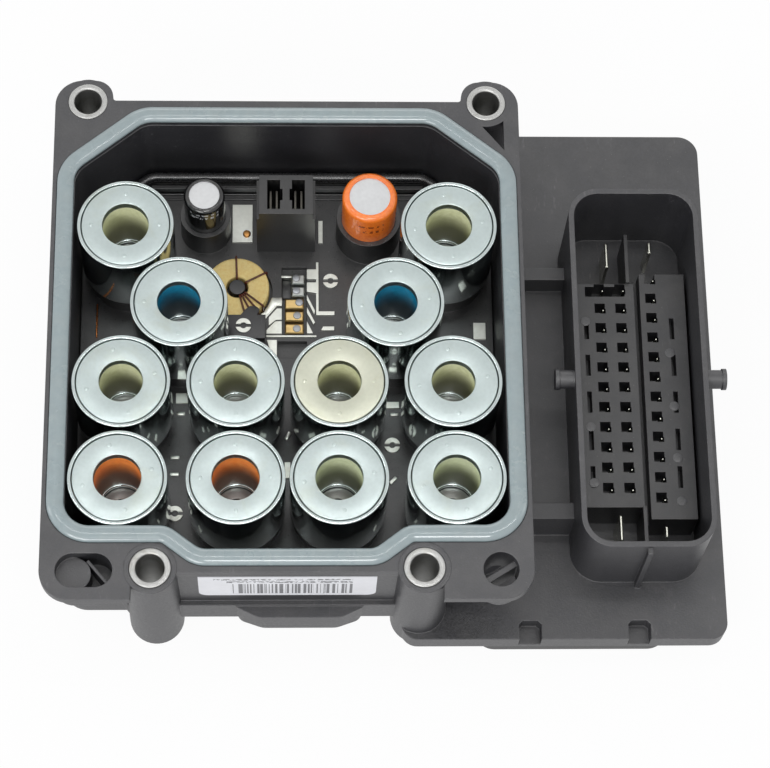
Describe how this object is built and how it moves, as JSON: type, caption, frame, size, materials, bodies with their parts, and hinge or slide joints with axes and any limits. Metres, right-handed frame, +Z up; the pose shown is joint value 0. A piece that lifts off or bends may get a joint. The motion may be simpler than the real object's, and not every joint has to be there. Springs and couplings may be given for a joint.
{
  "type": "abs brake module",
  "caption": "Brake control module: a moulded housing with a pocket of solenoid coils, a flange seal, sleeved bolt holes and a plug shroud with pins.",
  "frame": {"origin": "middle of the outline, on the lowest face of the lid", "axes": "+X along the long side, from the coil pocket to the plug shroud; +Y from the label side to the rear ears; +Z up, out of the flange face towards the hydraulic block"},
  "size_m": [0.1612, 0.1334, 0.0444],
  "materials": {
    "housing_plastic": "fine grain",
    "cover_plastic": "matte",
    "seal_rubber": "satin",
    "sleeve_steel": "satin",
    "deck_plastic": "matte",
    "board_laminate": "satin",
    "chip_plastic": "matte",
    "tinned_strip": "satin",
    "socket_plastic": "matte",
    "capacitor_aluminium": "satin",
    "sleeve_black": "gloss",
    "sleeve_orange": "gloss",
    "choke_yellow": "satin",
    "choke_wire": "gloss",
    "guide_plastic": "matte",
    "pin_metal": "bright",
    "label_paper": "matte",
    "copper_wire": "gloss",
    "can_steel": "bright zinc",
    "pole_steel": "satin",
    "bobbin_olive": "satin",
    "bobbin_blue": "satin",
    "bobbin_orange": "satin",
    "bobbin_green": "satin"
  },
  "bodies": {
    "root": {"housing": "housing_plastic", "cover": "cover_plastic", "gasket": "seal_rubber", "mounting_bushings": "sleeve_steel", "deck": "deck_plastic", "circuit_board": "board_laminate", "board_chips": "chip_plastic", "lead_frame": "tinned_strip", "weld_pads": "tinned_strip", "motor_socket": "socket_plastic", "motor_forks": "tinned_strip", "small_capacitor_can": "capacitor_aluminium", "small_capacitor_sleeve": "sleeve_black", "large_capacitor_can": "capacitor_aluminium", "large_capacitor_sleeve": "sleeve_orange", "choke_core": "choke_yellow", "choke_winding": "choke_wire", "pin_guide": "guide_plastic", "signal_pins": "pin_metal", "power_blades": "pin_metal", "label": "label_paper", "coil_windings": "copper_wire", "coil_terminals": "pin_metal", "coil_can_a1": "can_steel", "pole_plate_a1": "pole_steel", "bobbin_a1": "bobbin_olive", "coil_can_a2": "can_steel", "pole_plate_a2": "pole_steel", "bobbin_a2": "bobbin_olive", "coil_can_b1": "can_steel", "pole_plate_b1": "pole_steel", "bobbin_b1": "bobbin_blue", "coil_can_b2": "can_steel", "pole_plate_b2": "pole_steel", "bobbin_b2": "bobbin_blue", "coil_can_c1": "can_steel", "pole_plate_c1": "pole_steel", "bobbin_c1": "bobbin_olive", "coil_can_c2": "can_steel", "pole_plate_c2": "pole_steel", "bobbin_c2": "bobbin_olive", "coil_can_c3": "can_steel", "pole_plate_c3": "pole_steel", "bobbin_c3": "bobbin_olive", "coil_can_c4": "can_steel", "pole_plate_c4": "pole_steel", "bobbin_c4": "bobbin_olive", "coil_can_d1": "can_steel", "pole_plate_d1": "pole_steel", "bobbin_d1": "bobbin_orange", "coil_can_d2": "can_steel", "pole_plate_d2": "pole_steel", "bobbin_d2": "bobbin_orange", "coil_can_d3": "can_steel", "pole_plate_d3": "pole_steel", "bobbin_d3": "bobbin_green", "coil_can_d4": "can_steel", "pole_plate_d4": "pole_steel", "bobbin_d4": "bobbin_green"}
  },
  "joints": []
}
